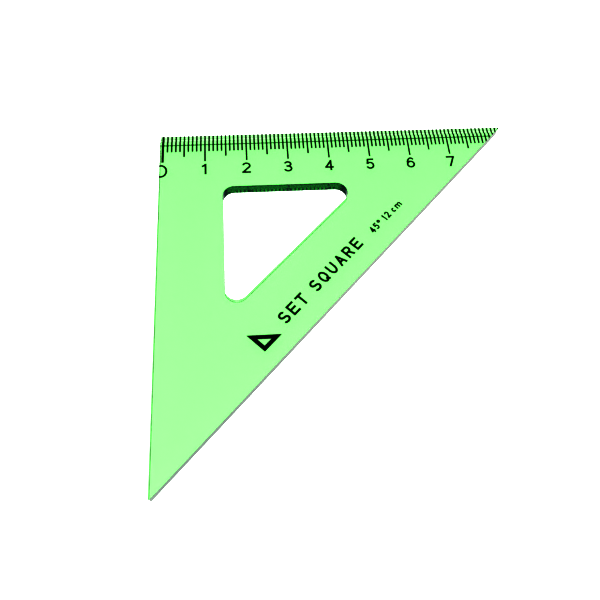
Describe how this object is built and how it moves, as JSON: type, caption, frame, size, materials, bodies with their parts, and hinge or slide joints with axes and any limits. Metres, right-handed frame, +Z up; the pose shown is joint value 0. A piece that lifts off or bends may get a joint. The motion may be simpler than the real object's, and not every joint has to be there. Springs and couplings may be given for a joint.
{
  "type": "set square",
  "caption": "Transparent green 45 degree set square with a stepped ruling edge, a printed millimetre scale and a rounded triangular window.",
  "frame": {"origin": "middle of the blade's box at its underside, beside the middle of the long edge", "axes": "+Z up through the blade's thickness, out of its printed face; +Y towards the ruling edge; +X along the scale from 0 to 8"},
  "size_m": [0.085, 0.085, 0.0028],
  "materials": {
    "clear_green_plastic": "transparent tinted polystyrene, polished mould finish",
    "printed_ink": "dark printed ink film"
  },
  "bodies": {
    "root": {"blade": "clear_green_plastic", "millimetre_marks": "printed_ink", "half_centimetre_marks": "printed_ink", "centimetre_marks": "printed_ink", "numeral_0": "printed_ink", "numeral_1": "printed_ink", "numeral_2": "printed_ink", "numeral_3": "printed_ink", "numeral_4": "printed_ink", "numeral_5": "printed_ink", "numeral_6": "printed_ink", "numeral_7": "printed_ink", "angle_marking": "printed_ink", "length_marking": "printed_ink", "title_marking": "printed_ink", "triangle_emblem": "printed_ink"}
  },
  "joints": []
}
